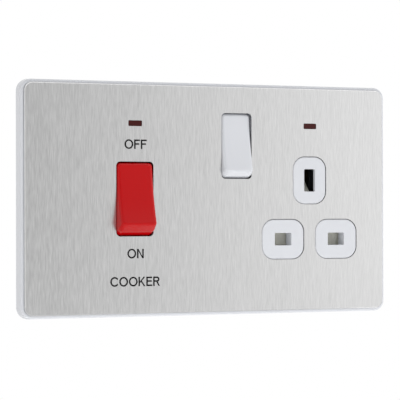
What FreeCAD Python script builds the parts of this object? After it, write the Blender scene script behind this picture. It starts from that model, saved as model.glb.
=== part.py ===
# Cooker control unit: a flush double plate with a double pole cooker switch on the left
# and a switched socket for flat three pin plugs on the right.
# Frame: +X right, +Z up, -Y out of the wall. The origin is the middle of the plate in the wall's plane.
# "Front" values below are distances out of the wall, so behind the wall they are negative.
# Millimetres and degrees.
import FreeCAD, Part
import math
import os
import re
import Sketcher

SIZES = {
    # steel face plate
    "steel_width": 143.6,
    "steel_height": 83.6,
    "steel_thick": 1.2,
    "steel_corner": 3.0,
    "steel_bevel": 0.25,
    "steel_front": 6.0,
    "tab_width": 8.0,
    "tab_thick": 0.8,
    "tab_length": 3.2,
    "tab_across": 47.0,
    "tab_inset": 3.2,
    "tab_play": 0.3,
    # white mounting frame
    "frame_width": 146.5,
    "frame_height": 86.5,
    "frame_corner": 4.45,
    "frame_wall": 2.0,
    "frame_taper": 3.4,
    "lip_setback": 1.0,
    "lip_round": 0.6,
    "web_thick": 1.8,
    "steel_play": 0.1,
    "fixing_spacing": 120.6,
    "fixing_hole_radius": 2.1,
    "fixing_boss_radius": 5.0,
    "fixing_head_radius": 3.7,
    "fixing_head_depth": 1.4,
    "rib_thick": 1.2,
    "rib_reach": 2.2,
    # places of the two switches and the socket
    "cooker_x": -30.0,
    "cooker_z": 0.0,
    "switch_x": 10.5,
    "switch_z": 19.8,
    "socket_x": 40.65,
    "pin_row_z": -15.1,
    "pin_spacing": 22.23,
    "earth_rise": 22.23,
    # openings in the steel, and the web's wider openings behind them
    "opening_corner": 1.6,
    "cooker_opening_width": 14.5,
    "cooker_opening_height": 27.3,
    "switch_opening_width": 12.3,
    "switch_opening_height": 24.5,
    "web_margin": 0.3,
    # rockers, in their own frame: "reach" is forward of the axle
    "axle_front": 1.0,
    "rocker_side_gap": 0.2,
    "rocker_draft": 0.25,
    "rocker_corner": 1.5,
    "rocker_edge_round": 1.1,
    "rocker_dish_radius": 75.0,
    "rocker_dish_sag": 1.2,
    "rocker_shell": 1.6,
    "cooker_rocker_reach": 8.0,
    "cooker_rocker_half": 11.45,
    "cooker_shoulder_reach": 4.4,
    "cooker_shoulder_half": 13.2,
    "cooker_tilt": 13.0,
    "switch_rocker_reach": 6.1,
    "switch_rocker_half": 10.8,
    "switch_shoulder_reach": 3.7,
    "switch_shoulder_half": 12.05,
    "switch_tilt": 10.2,
    "rocker_end_play": 0.35,
    "axle_radius": 1.5,
    "axle_overhang": 1.7,
    "axle_play": 0.05,
    "axle_hole_extra": 0.2,
    # spring plungers that push the rocking contacts
    "keel_depth": 4.5,
    "keel_root": 0.5,
    "bore_lead": 1.0,
    "keel_thick": 4.6,
    "pole_offset": 3.6,
    "plunger_radius": 1.2,
    "plunger_play": 0.12,
    "plunger_reach": 8.15,
    "plunger_length": 6.2,
    "spring_wire": 0.5,
    "spring_turns": 4,
    "spring_length": 5.4,
    # rocking contacts and the brass strips that they rest on
    "contact_front": -8.3,
    "contact_width": 4.6,
    "contact_thick": 1.0,
    "contact_wing": 9.0,
    "contact_bend": 10.0,
    "contact_play": 0.05,
    "strip_thick": 1.5,
    "strip_width": 5.0,
    "strip_play": 0.1,
    "feed_plate_high": 2.5,
    "load_plate_low": 5.0,
    # screw terminals of the cooker switch
    "terminal_across": 13.0,
    "terminal_width": 9.0,
    "terminal_height": 10.0,
    "terminal_depth": 11.0,
    "terminal_z": 25.0,
    "terminal_bore_radius": 2.75,
    "terminal_play": 0.15,
    "strip_turn_low": 14.0,
    "strip_turn_high": 19.0,
    "cable_hole_radius": 3.3,
    "screw_radius": 1.9,
    "screw_play": 0.1,
    "screw_length": 3.8,
    "screw_head_radius": 2.6,
    "screw_head_thick": 1.6,
    "screw_slot": 0.8,
    "screw_hole_radius": 3.1,
    # moulded bodies behind the frame
    "body_front": 3.0,
    "rear_front": -24.0,
    "middle_rear_front": -14.0,
    "middle_half": 17.5,
    "cooker_body_half_width": 22.5,
    "cooker_body_half_height": 31.0,
    "body_corner": 1.5,
    "rear_bevel": 0.8,
    "socket_body_left": -7.3,
    "socket_body_right": 62.0,
    "socket_body_bottom": -31.5,
    "socket_body_top": 33.5,
    "split_front": -1.7,
    "notch_left": 53.6,
    "notch_half": 9.0,
    # how far a cutting solid reaches past the face that it opens
    "overcut": 1.0,
    # screws that hold the moulded bodies to the frame
    "post_radius": 2.8,
    "post_length": 4.0,
    "post_play": 0.2,
    "post_hole_radius": 1.3,
    "body_screw_radius": 1.2,
    "body_screw_length": 15.0,
    "body_screw_head_radius": 2.3,
    "body_screw_head_thick": 1.6,
    "body_screw_clearance": 0.3,
    "cooker_screw_across": 19.2,
    "socket_screw_left_x": -1.5,
    "socket_screw_left_z": -8.0,
    "socket_screw_right_x": 57.6,
    "socket_screw_right_z": 21.0,
    # socket pads and apertures
    "line_pad_width": 17.25,
    "line_pad_height": 14.8,
    "earth_pad_width": 13.6,
    "earth_pad_height": 17.7,
    "pad_corner": 4.7,
    "pad_gap": 0.2,
    "pad_edge": 0.25,
    "line_slot_width": 6.9,
    "line_slot_height": 4.7,
    "earth_slot_width": 4.5,
    "earth_slot_height": 8.5,
    "slot_corner": 0.4,
    "earth_wall": 1.4,
    "earth_room_width": 6.6,
    "earth_room_height": 10.4,
    # shutter, which the earth pin wedges down
    "shutter_thick": 2.0,
    "shutter_play": 0.1,
    "shutter_half_width": 15.6,
    "shutter_half_height": 2.9,
    "shutter_travel": 5.8,
    "shutter_stem": 3.6,
    "shutter_side_play": 0.3,
    "ramp_front": 2.0,
    "ramp_foot_z": 2.9,
    "ramp_step": 0.7,
    "shutter_spring_radius": 0.85,
    "shutter_spring_wire": 0.3,
    "shutter_spring_turns": 6,
    "shutter_spring_length": 11.0,
    "shutter_spigot_radius": 0.45,
    "shutter_spigot_length": 3.0,
    # sprung socket contacts
    "line_pin_gap": 4.3,
    "earth_pin_gap": 4.3,
    "leaf_thick": 0.8,
    "line_leaf_width": 7.0,
    "earth_leaf_width": 8.0,
    "line_leaf_front": -3.2,
    "line_leaf_rear": -12.6,
    "earth_leaf_front": -7.0,
    "earth_leaf_rear": -19.0,
    "earth_strip_thick": 1.5,
    "contact_room": 0.25,
    # earth terminal bar
    "earth_bar_half_width": 9.0,
    "earth_bar_height": 9.0,
    "earth_bar_z": 27.2,
    "earth_bar_front": -10.2,
    "earth_bar_bore_radius": 2.2,
    "earth_bar_bore_across": 4.5,
    # links between the switch and the socket
    "neutral_link_z": -22.0,
    "neutral_link_height": 4.0,
    "neutral_link_front": -5.0,
    "feed_strip_z": 29.3,
    "feed_strip_height": 3.4,
    "feed_strip_x": 49.6,
    "feed_strip_width": 4.0,
    # neon indicators
    "neon_below_top": 14.15,
    "cooker_neon_x": -29.85,
    "socket_neon_x": 40.85,
    "lens_width": 5.3,
    "lens_height": 2.1,
    "lens_corner": 0.35,
    "lens_play": 0.08,
    "lens_recess": 0.15,
    "lens_flange_thick": 1.0,
    "neon_room_width": 13.4,
    "neon_room_height": 3.6,
    "lamp_radius": 1.6,
    "lamp_length": 7.0,
    "lamp_gap": 1.0,
    "resistor_radius": 1.0,
    "resistor_length": 3.6,
    "lamp_play": 0.1,
}

doc = FreeCAD.newDocument("CookerControlUnit")
sheet = doc.addObject("Spreadsheet::Sheet", "Sizes")
for row, (alias, number) in enumerate(SIZES.items(), 1):
    sheet.set(f"A{row}", alias)
    sheet.set(f"B{row}", str(number))
    sheet.setAlias(f"B{row}", alias)
doc.recompute()

pieces = []


def tied(words):
    """Write a formula of plain size names as an expression on the sheet."""
    return re.sub(r"[a-z_]+", lambda found: "Sizes." + found[0] if found[0] in SIZES else found[0], words)


def worth(words):
    """The number that a formula of size names gives."""
    return float(sheet.evalExpression(re.sub(r"Sizes\.", "", words)))


def keep(label, thing):
    """Count an object as one of the finished pieces."""
    thing.Label = label
    pieces.append(thing)
    return thing


# Part solids whose faces are tied to the sheet


def put(thing, x, front, z):
    thing.setExpression("Placement.Base.x", tied(x))
    thing.setExpression("Placement.Base.y", tied(f"-({front})"))
    thing.setExpression("Placement.Base.z", tied(z))
    return thing


def block(x, front, z):
    """A box between three pairs of formulas, each low then high."""
    thing = doc.addObject("Part::Box", "Block")
    thing.setExpression("Length", tied(f"({x[1]}) - ({x[0]})"))
    thing.setExpression("Width", tied(f"({front[1]}) - ({front[0]})"))
    thing.setExpression("Height", tied(f"({z[1]}) - ({z[0]})"))
    return put(thing, x[0], front[1], z[0])


TURNS = {
    "up": FreeCAD.Rotation(),
    "right": FreeCAD.Rotation(FreeCAD.Vector(0, 1, 0), 90),
    "forward": FreeCAD.Rotation(FreeCAD.Vector(1, 0, 0), 90),
}


def rod(way, x, front, z, radius, length):
    """A cylinder that starts at a point and runs up, right or forward."""
    thing = doc.addObject("Part::Cylinder", "Rod")
    thing.setExpression("Radius", tied(radius))
    thing.setExpression("Height", tied(length))
    thing.Placement = FreeCAD.Placement(FreeCAD.Vector(), TURNS[way])
    return put(thing, x, front, z)


def eased(kind, base, chosen, size):
    """A Part fillet or chamfer of one size on the edges of a solid that a test picks."""
    doc.recompute()
    numbers = [number for number, edge in enumerate(base.Shape.Edges, 1) if chosen(edge)]
    result = doc.addObject(f"Part::{kind}", kind)
    result.Base = base
    result.Edges = [(number, worth(size), worth(size)) for number in numbers]
    return result


def moulding_block(x, front, z):
    """A box whose four edges that run out of the wall are rounded as a mould's corners are."""
    return eased("Fillet", block(x, front, z), runs_out, "body_corner")


def bevelled_block(x, front, z):
    """A moulding block with a bevel round its rear rim."""
    rear = worth(front[0])
    return eased("Chamfer", moulding_block(x, front, z), lambda edge: in_plane(edge, rear), "rear_bevel")


def joined(things):
    if len(things) == 1:
        return things[0]
    whole = doc.addObject("Part::MultiFuse", "Joined")
    whole.Shapes = things
    whole.Refine = True
    return whole


def less(base, tools):
    result = doc.addObject("Part::Cut", "Less")
    result.Base = base
    result.Tool = joined(tools)
    result.Refine = True
    return result


def grouped(things):
    group = doc.addObject("Part::Compound", "Group")
    group.Links = things
    return group


def span(middle, width):
    return (f"{middle} - ({width}) / 2", f"{middle} + ({width}) / 2")


def aside(middle, side, near, far):
    """The stretch between two distances to the right (1) or left (-1) of a middle."""
    if side > 0:
        return (f"{middle} + {near}", f"{middle} + {far}")
    return (f"{middle} - ({far})", f"{middle} - ({near})")


# PartDesign bodies and their sketches


def new_body(label):
    return keep(label, doc.addObject("PartDesign::Body", label))


def sketch_on(body, role, x="0", y="0", offset="0"):
    """A sketch on an origin plane: on XZ its normal points out of the wall, on YZ to the right."""
    plane = next(item for item in body.Origin.OriginFeatures if item.Role == role)
    drawing = body.newObject("Sketcher::SketchObject", "Outline")
    drawing.AttachmentSupport = [(plane, "")]
    drawing.MapMode = "FlatFace"
    drawing.setExpression("AttachmentOffset.Base.x", tied(x))
    drawing.setExpression("AttachmentOffset.Base.y", tied(y))
    drawing.setExpression("AttachmentOffset.Base.z", tied(offset))
    return drawing


def bind(drawing, rule, formula):
    number = drawing.addConstraint(rule)
    drawing.setExpression(f"Constraints[{number}]", tied(formula))


def circle(drawing, radius):
    made = drawing.addGeometry(Part.Circle(FreeCAD.Vector(), FreeCAD.Vector(0, 0, 1), worth(radius)))
    drawing.addConstraint(Sketcher.Constraint("Coincident", made, 3, -1, 1))
    bind(drawing, Sketcher.Constraint("Radius", made, worth(radius)), radius)
    return drawing


def rounded(drawing, width, height, corner):
    """A rectangle with round corners, centred on the sketch's origin."""
    half_width = worth(width) / 2
    half_height = worth(height) / 2
    radius = worth(corner)
    quarter = math.pi / 2
    arcs = []
    lines = []
    for number, (right, up) in enumerate([(1, 1), (-1, 1), (-1, -1), (1, -1)]):
        centre = FreeCAD.Vector(right * (half_width - radius), up * (half_height - radius), 0)
        curve = Part.Circle(centre, FreeCAD.Vector(0, 0, 1), radius)
        arcs.append(drawing.addGeometry(Part.ArcOfCircle(curve, number * quarter, (number + 1) * quarter)))
    ends = [
        [(half_width - radius, half_height), (radius - half_width, half_height)],
        [(-half_width, half_height - radius), (-half_width, radius - half_height)],
        [(radius - half_width, -half_height), (half_width - radius, -half_height)],
        [(half_width, radius - half_height), (half_width, half_height - radius)],
    ]
    for number, (start, end) in enumerate(ends):
        edge = Part.LineSegment(FreeCAD.Vector(*start, 0), FreeCAD.Vector(*end, 0))
        lines.append(drawing.addGeometry(edge))
        drawing.addConstraint(Sketcher.Constraint("Tangent", arcs[number], 2, lines[number], 1))
        drawing.addConstraint(Sketcher.Constraint("Tangent", lines[number], 2, arcs[(number + 1) % 4], 1))
    drawing.addConstraint(Sketcher.Constraint("Horizontal", lines[0]))
    drawing.addConstraint(Sketcher.Constraint("Vertical", lines[1]))
    for number in (1, 2, 3):
        drawing.addConstraint(Sketcher.Constraint("Equal", arcs[0], arcs[number]))
    bind(drawing, Sketcher.Constraint("Radius", arcs[0], radius), corner)
    bind(drawing, Sketcher.Constraint("DistanceX", -1, 1, arcs[0], 1, half_width), f"({width}) / 2")
    bind(drawing, Sketcher.Constraint("DistanceX", arcs[1], 2, arcs[0], 1, 2 * half_width), width)
    bind(drawing, Sketcher.Constraint("DistanceY", -1, 1, arcs[0], 2, half_height), f"({height}) / 2")
    bind(drawing, Sketcher.Constraint("DistanceY", arcs[2], 2, arcs[0], 2, 2 * half_height), height)
    return drawing


def outline(drawing, corners, arcs=None):
    """A closed outline through tied corners. An arc is centred on the origin or has a tied radius.

    arcs: {number of the edge: "origin" or (radius formula, which side of the edge its centre is on)}
    A corner's y may be given as (formula, "free"), where an arc settles it.
    """
    arcs = arcs or {}
    spots = []
    for x, y in corners:
        spots.append(FreeCAD.Vector(worth(x), worth(y[0] if isinstance(y, tuple) else y), 0))
    ends = []
    for number, start in enumerate(spots):
        end = spots[(number + 1) % len(spots)]
        if number not in arcs:
            ends.append((drawing.addGeometry(Part.LineSegment(start, end)), 1, 2))
            continue
        if arcs[number] == "origin":
            centre = FreeCAD.Vector()
            radius = start.Length
        else:
            radius = worth(arcs[number][0])
            chord = end - start
            across = FreeCAD.Vector(-chord.y, chord.x, 0).normalize() * arcs[number][1]
            centre = (start + end) * 0.5 + across * math.sqrt(radius ** 2 - (chord.Length / 2) ** 2)
        first = math.atan2(start.y - centre.y, start.x - centre.x)
        last = math.atan2(end.y - centre.y, end.x - centre.x)
        forwards = (last - first) % (2 * math.pi) < math.pi
        low, high = (first, last) if forwards else (last, first)
        curve = Part.Circle(centre, FreeCAD.Vector(0, 0, 1), radius)
        made = drawing.addGeometry(Part.ArcOfCircle(curve, low, high))
        ends.append((made, 1, 2) if forwards else (made, 2, 1))
    for number, (edge, start, end) in enumerate(ends):
        following = ends[(number + 1) % len(ends)]
        drawing.addConstraint(Sketcher.Constraint("Coincident", edge, end, following[0], following[1]))
    for number, (x, y) in enumerate(corners):
        edge, start, end = ends[number]
        bind(drawing, Sketcher.Constraint("DistanceX", -1, 1, edge, start, worth(x)), x)
        if not isinstance(y, tuple):
            bind(drawing, Sketcher.Constraint("DistanceY", -1, 1, edge, start, worth(y)), y)
    for number, rule in arcs.items():
        edge = ends[number][0]
        if rule == "origin":
            drawing.addConstraint(Sketcher.Constraint("Coincident", edge, 3, -1, 1))
        else:
            bind(drawing, Sketcher.Constraint("Radius", edge, worth(rule[0])), rule[0])
    return drawing


def pad(body, drawing, length, backwards=False, midplane=False):
    feature = body.newObject("PartDesign::Pad", "Pad")
    feature.Profile = drawing
    feature.setExpression("Length", tied(length))
    feature.Reversed = backwards
    feature.Midplane = midplane
    return feature


def pocket(body, drawing, length, forwards=False, midplane=False):
    """A cut from the sketch into the wall, or out of it if forwards."""
    feature = body.newObject("PartDesign::Pocket", "Pocket")
    feature.Profile = drawing
    feature.setExpression("Length", tied(length))
    feature.Reversed = forwards
    feature.Midplane = midplane
    return feature


def edges_of(feature, chosen):
    doc.recompute()
    return [f"Edge{number}" for number, edge in enumerate(feature.Shape.Edges, 1) if chosen(edge)]


def softened(body, kind, base, chosen, size):
    """A PartDesign fillet or chamfer on the edges that a test picks."""
    names = edges_of(base, chosen)
    feature = body.newObject(f"PartDesign::{kind}", kind)
    feature.Base = (base, names)
    feature.setExpression("Radius" if kind == "Fillet" else "Size", tied(size))
    return feature


def in_plane(edge, front):
    """True for an edge that lies all in the plane at one distance out of the wall."""
    box = edge.BoundBox
    return abs(box.YMin + front) < 0.01 and abs(box.YMax + front) < 0.01


def runs_out(edge):
    """True for a straight edge that runs out of the wall."""
    box = edge.BoundBox
    return box.XLength < 0.01 and box.ZLength < 0.01


LINE_PADS = [("socket_x - pin_spacing / 2", "pin_row_z"), ("socket_x + pin_spacing / 2", "pin_row_z")]
EARTH_PAD = ("socket_x", "pin_row_z + earth_rise")
WEB_BACK = "steel_front - steel_thick - web_thick"
NEON_Z = "(steel_height / 2 - neon_below_top)"


def plate_openings(body, front, depth, growth):
    """Cut the openings for rockers, pads and lenses, all wider by a growth on each side."""
    wider = f"+ 2 * ({growth})"
    cuts = [
        ("cooker_x", "cooker_z", "cooker_opening_width", "cooker_opening_height", "opening_corner"),
        ("switch_x", "switch_z", "switch_opening_width", "switch_opening_height", "opening_corner"),
        ("cooker_neon_x", NEON_Z, "lens_width", "lens_height", "lens_corner"),
        ("socket_neon_x", NEON_Z, "lens_width", "lens_height", "lens_corner"),
        (*EARTH_PAD, "earth_pad_width + 2 * pad_gap", "earth_pad_height + 2 * pad_gap",
         "pad_corner + pad_gap"),
    ]
    for x, z in LINE_PADS:
        cuts.append((x, z, "line_pad_width + 2 * pad_gap", "line_pad_height + 2 * pad_gap",
                     "pad_corner + pad_gap"))
    for x, z, width, height, corner in cuts:
        drawing = sketch_on(body, "XZ_Plane", x, z, front)
        rounded(drawing, width + wider, height + wider, corner)
        last = pocket(body, drawing, depth)
    return last


def face_plate():
    """Flat brushed steel sheet with a fine bevel, and four folded tabs that snap into the frame."""
    body = new_body("face_plate")
    drawing = sketch_on(body, "XZ_Plane", offset="steel_front - steel_thick")
    sheet_pad = pad(body, rounded(drawing, "steel_width", "steel_height", "steel_corner"), "steel_thick")
    front = worth("steel_front")
    softened(body, "Chamfer", sheet_pad, lambda edge: in_plane(edge, front), "steel_bevel")
    plate_openings(body, "steel_front", "steel_thick", "0")
    for x in ("tab_across", "-tab_across"):
        for z in ("steel_height / 2 - tab_inset", "tab_inset - steel_height / 2"):
            tab = sketch_on(body, "XZ_Plane", x, z, "steel_front - steel_thick")
            pad(body, rounded(tab, "tab_width", "tab_thick", "tab_thick / 4"), "tab_length", backwards=True)


POSTS = [
    ("cooker_x - cooker_screw_across", "cooker_z"),
    ("cooker_x + cooker_screw_across", "cooker_z"),
    ("socket_screw_left_x", "socket_screw_left_z"),
    ("socket_screw_right_x", "socket_screw_right_z"),
]


def mounting_frame():
    """White moulded frame: a rim, a web that carries everything, fixing bosses and screw posts."""
    body = new_body("mounting_frame")
    drawing = sketch_on(body, "XZ_Plane")
    rim = pad(body, rounded(drawing, "frame_width", "frame_height", "frame_corner"),
              "steel_front - lip_setback")
    rim.setExpression("TaperAngle", tied("-frame_taper"))
    lip = worth("steel_front - lip_setback")
    softened(body, "Fillet", rim, lambda edge: in_plane(edge, lip), "lip_round")
    seat = sketch_on(body, "XZ_Plane", offset="steel_front - lip_setback")
    rounded(seat, "steel_width + 2 * steel_play", "steel_height + 2 * steel_play",
            "steel_corner + steel_play")
    pocket(body, seat, "steel_thick - lip_setback")
    hollow = sketch_on(body, "XZ_Plane")
    rounded(hollow, "frame_width - 2 * frame_wall", "frame_height - 2 * frame_wall",
            "frame_corner - frame_wall")
    pocket(body, hollow, WEB_BACK, forwards=True)
    inner_width = "frame_width - 2 * frame_wall"
    for x, z, across, up in (("0", "steel_height / 2 - 2 * tab_inset", inner_width, "rib_thick"),
                             ("0", "2 * tab_inset - steel_height / 2", inner_width, "rib_thick")):
        rib = sketch_on(body, "XZ_Plane", x, z, WEB_BACK)
        pad(body, rounded(rib, across, up, f"{up} / 4"), "rib_reach", backwards=True)
    for x in ("fixing_spacing / 2", "-fixing_spacing / 2"):
        boss = sketch_on(body, "XZ_Plane", x, "0", WEB_BACK)
        pad(body, circle(boss, "fixing_boss_radius"), WEB_BACK, backwards=True)
    for x, z in POSTS:
        post = sketch_on(body, "XZ_Plane", x, z, WEB_BACK)
        pad(body, circle(post, "post_radius"), "post_length", backwards=True)
        pilot = sketch_on(body, "XZ_Plane", x, z, f"{WEB_BACK} - post_length")
        pocket(body, circle(pilot, "post_hole_radius"), "post_length", forwards=True)
    plate_openings(body, "steel_front - steel_thick", "web_thick", "web_margin")
    for x in ("tab_across", "-tab_across"):
        for z in ("steel_height / 2 - tab_inset", "tab_inset - steel_height / 2"):
            slot = sketch_on(body, "XZ_Plane", x, z, "steel_front - steel_thick")
            rounded(slot, "tab_width + 2 * tab_play", "tab_thick + 2 * tab_play", "tab_thick / 4")
            pocket(body, slot, "web_thick")
    for x in ("fixing_spacing / 2", "-fixing_spacing / 2"):
        hole = sketch_on(body, "XZ_Plane", x, "0", "steel_front - steel_thick")
        pocket(body, circle(hole, "fixing_hole_radius"), "steel_front - steel_thick")
        sink = sketch_on(body, "XZ_Plane", x, "0", "steel_front - steel_thick")
        pocket(body, circle(sink, "fixing_head_radius"), "fixing_head_depth")


def tilted(body, x, z, tilt):
    """Set a body at a rocker's axle, turned so that its top is pressed in by the tilt."""
    turn = FreeCAD.Rotation(FreeCAD.Vector(1, 0, 0), -worth(tilt))
    body.Placement = FreeCAD.Placement(FreeCAD.Vector(), turn)
    body.setExpression("Placement.Rotation.Angle", tied(f"-({tilt}) * 1 deg"))
    put(body, x, "axle_front", z)


def rocker(label, kind, x, z, poles):
    """Moulded rocker with a dished face, sloped ends, axle stubs and a keel bored for the plungers."""
    body = new_body(label)
    width = f"({kind}_opening_width - 2 * rocker_side_gap)"
    half = f"{kind}_rocker_half"
    shoulder = f"{kind}_shoulder_half"
    reach = f"{kind}_rocker_reach"
    knee = f"{kind}_shoulder_reach"
    skirt = rounded(sketch_on(body, "XZ_Plane"), width, f"2 * sqrt({knee} ^ 2 + {shoulder} ^ 2)",
                    "rocker_corner")
    waist = rounded(sketch_on(body, "XZ_Plane", offset=knee), width, f"2 * {shoulder}", "rocker_corner")
    face = rounded(sketch_on(body, "XZ_Plane", offset=reach), f"{width} - 2 * rocker_draft", f"2 * {half}",
                   "rocker_corner")
    for lower, upper in ((skirt, waist), (waist, face)):
        loft = body.newObject("PartDesign::AdditiveLoft", "Flank")
        loft.Profile = lower
        loft.Sections = [upper]
        loft.Ruled = True
    above = f"-{reach} - rocker_shell"
    dish = sketch_on(body, "YZ_Plane")
    outline(dish, [(f"-{reach}", half), (f"-{reach}", f"-{half}"), (above, f"-{half}"), (above, half)],
            {0: ("rocker_dish_radius", -1)})
    dished = pocket(body, dish, f"2 * {width}", midplane=True)
    lowest = worth(f"{reach} - rocker_dish_sag")
    softened(body, "Fillet", dished, lambda edge: edge.BoundBox.YMax < -lowest, "rocker_edge_round")
    keel = sketch_on(body, "XY_Plane", "0", "(keel_depth - keel_root) / 2")
    rounded(keel, f"{width} - 2 * rocker_draft", "keel_depth + keel_root", "rocker_draft")
    pad(body, keel, "keel_thick", midplane=True)
    for up in (1, -1):
        hollow = sketch_on(body, "YZ_Plane")
        low = f"{up} * (keel_thick / 2 + rocker_shell)"
        high = f"{up} * ({half} - rocker_shell)"
        deep = f"2 * rocker_shell - {reach}"
        outline(hollow, [("0", low), (deep, low), (deep, high), ("0", high)])
        pocket(body, hollow, f"{width} - 2 * rocker_shell", midplane=True)
    axle = sketch_on(body, "YZ_Plane")
    pad(body, circle(axle, "axle_radius"), f"{width} + 2 * axle_overhang", midplane=True)
    for pole in poles:
        bore = sketch_on(body, "XZ_Plane", pole, "0", "-keel_depth - bore_lead")
        pocket(body, circle(bore, "plunger_radius + plunger_play"),
               "keel_depth + bore_lead + spring_length - plunger_reach + plunger_length + spring_wire",
               forwards=True)
    tilted(body, x, z, f"{kind}_tilt")
    return body


def plunger(label, kind, x, z):
    """Round-nosed pin that slides in the rocker's keel."""
    body = new_body(label)
    nose = "plunger_reach - plunger_radius"
    profile = sketch_on(body, "YZ_Plane")
    outline(profile, [("plunger_reach - plunger_length", "0"), ("plunger_reach", "0"),
                      (nose, "plunger_radius"), ("plunger_reach - plunger_length", "plunger_radius")],
            {1: ("plunger_radius", 1)})
    turned = body.newObject("PartDesign::Revolution", "Turned")
    turned.Profile = profile
    turned.ReferenceAxis = (profile, ["H_Axis"])
    turned.Angle = 360
    tilted(body, x, z, f"{kind}_tilt")
    return body


def coil(label, radius, wire, turns, length):
    """Helix standing on the origin along +Z. Its wire has six flats, to keep it light."""
    helix = doc.addObject("Part::Helix", "Helix")
    helix.setExpression("Radius", tied(radius))
    helix.setExpression("Pitch", tied(f"({length} - {wire}) / {turns}"))
    helix.setExpression("Height", tied(f"{length} - {wire}"))
    section = doc.addObject("Part::RegularPolygon", "WireSection")
    section.Polygon = 6
    section.setExpression("Circumradius", tied(f"{wire} / 2"))
    section.Placement = FreeCAD.Placement(FreeCAD.Vector(), TURNS["forward"])
    section.setExpression("Placement.Base.x", tied(radius))
    swept = doc.addObject("Part::Sweep", "Coil")
    swept.Sections = [section]
    swept.Spine = (helix, ["Edge1"])
    swept.Solid = True
    swept.Frenet = True
    return keep(label, swept)


def plunger_spring(label, kind, x, z):
    spring = coil(label, "plunger_radius - spring_wire / 2", "spring_wire", "spring_turns", "spring_length")
    tilt = math.radians(worth(f"{kind}_tilt"))
    axis = FreeCAD.Vector(0, -math.cos(tilt), math.sin(tilt))
    turn = FreeCAD.Rotation(FreeCAD.Vector(0, 0, 1), axis)
    spring.Placement = FreeCAD.Placement(FreeCAD.Vector(), turn)
    start = "(plunger_reach - plunger_length - spring_wire / 2)"
    put(spring, x, f"axle_front - {start} * cos({kind}_tilt * 1 deg)",
        f"{z} - {start} * sin({kind}_tilt * 1 deg)")
    return spring


def rocking_contact(label, x, z):
    """Brass strip with a shallow bend that rocks on its supply plate: at rest its lower wing lies flat."""
    body = new_body(label)
    flat = "-contact_front"
    face = "-contact_front - contact_thick"
    lift = "2 * contact_bend * 1 deg"
    profile = sketch_on(body, "YZ_Plane", "0", z, x)
    outline(profile, [
        (flat, "-contact_wing"),
        (flat, "0"),
        (f"{flat} - contact_wing * sin({lift})", f"contact_wing * cos({lift})"),
        (f"{face} - contact_wing * sin({lift}) + contact_thick * (1 - cos({lift}))",
         f"contact_wing * cos({lift}) - contact_thick * sin({lift})"),
        (face, "-contact_thick * tan(contact_bend * 1 deg)"),
        (face, "-contact_wing"),
    ])
    pad(body, profile, "contact_width", midplane=True)
    return body


STRIP_FRONT = "contact_front - contact_play"
STRIP_BACK = f"{STRIP_FRONT} - strip_thick"


def strip_boxes(side, end, low, high, grow, front, back):
    """Boxes of the strip from a rocking contact out to its terminal, for one pole and one end."""
    half = "strip_width / 2"
    inner = f"pole_offset - {half} - {grow}"
    outer = f"pole_offset + {half} + {grow}"
    reach = f"terminal_across + terminal_width / 2 + {grow}"
    foot = f"terminal_z + terminal_height / 2 + {grow}"
    turn_low = f"strip_turn_low - {grow}"
    turn_high = f"strip_turn_high + {grow}"
    layer = (back, front)
    return [
        block(aside("cooker_x", side, inner, outer), layer,
              aside("cooker_z", end, f"{low} - {grow}", turn_high)),
        block(aside("cooker_x", side, inner, reach), layer, aside("cooker_z", end, turn_low, turn_high)),
        block(aside("cooker_x", side, f"terminal_across - terminal_width / 2 - {grow}", reach), layer,
              aside("cooker_z", end, turn_low, foot)),
    ]


POLES = {"live": 1, "neutral": -1}
ENDS = {"load": (1, "load_plate_low"), "supply": (-1, "-feed_plate_high")}


def cooker_strips():
    """Brass strips of the cooker switch: supply and load, live and neutral."""
    for pole, side in POLES.items():
        for end, (up, low) in ENDS.items():
            keep(f"{end}_{pole}_strip", joined(strip_boxes(side, up, low, "0", "0", STRIP_FRONT, STRIP_BACK)))


def terminal_screw(x, tip_front, z):
    """Slotted terminal screw, its tip forward and its head to the rear."""
    shank = rod("forward", x, f"{tip_front} - screw_length - screw_head_thick / 2", z,
                "screw_radius", "screw_length + screw_head_thick / 2")
    head = rod("forward", x, f"{tip_front} - screw_length - screw_head_thick", z, "screw_head_radius",
               "screw_head_thick")
    rear = f"{tip_front} - screw_length - screw_head_thick"
    slot = block(span(x, "3 * screw_head_radius"), (rear, f"{rear} + screw_head_thick / 2"),
                 span(z, "screw_slot"))
    return less(joined([shank, head]), [slot])


def cooker_terminals():
    """Brass terminal blocks with a cable bore along Z and a screw from the rear."""
    screws = []
    bore_front = f"{STRIP_BACK} - terminal_depth / 2"
    for pole, side in POLES.items():
        x = f"cooker_x + {side} * terminal_across"
        for end, (up, low) in ENDS.items():
            z = f"cooker_z + {up} * terminal_z"
            solid = block(span(x, "terminal_width"), (f"{STRIP_BACK} - terminal_depth", STRIP_BACK),
                          span(z, "terminal_height"))
            bore = rod("up", x, bore_front, f"{z} - terminal_height", "terminal_bore_radius",
                       "2 * terminal_height")
            tapped = rod("forward", x, f"{STRIP_BACK} - terminal_depth - overcut", z,
                         "screw_radius + screw_play",
                         "terminal_depth / 2 + overcut")
            keep(f"{end}_{pole}_terminal", less(solid, [bore, tapped]))
            screws.append(terminal_screw(x, f"{bore_front} - terminal_bore_radius", z))
    return screws


def body_screws():
    """Screws that hold the moulded bodies to the frame's posts."""
    screws = []
    for x, z in POSTS:
        shank = rod("forward", x, "middle_rear_front - body_screw_head_thick / 2", z,
                    "body_screw_radius", "body_screw_length + body_screw_head_thick / 2")
        head = rod("forward", x, "middle_rear_front - body_screw_head_thick", z, "body_screw_head_radius",
                   "body_screw_head_thick")
        rear = "middle_rear_front - body_screw_head_thick"
        slot = block(span(x, "3 * body_screw_head_radius"), (rear, f"{rear} + body_screw_head_thick / 2"),
                     span(z, "screw_slot"))
        screws.append(less(joined([shank, head]), [slot]))
    keep("body_screws", grouped(screws))


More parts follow.
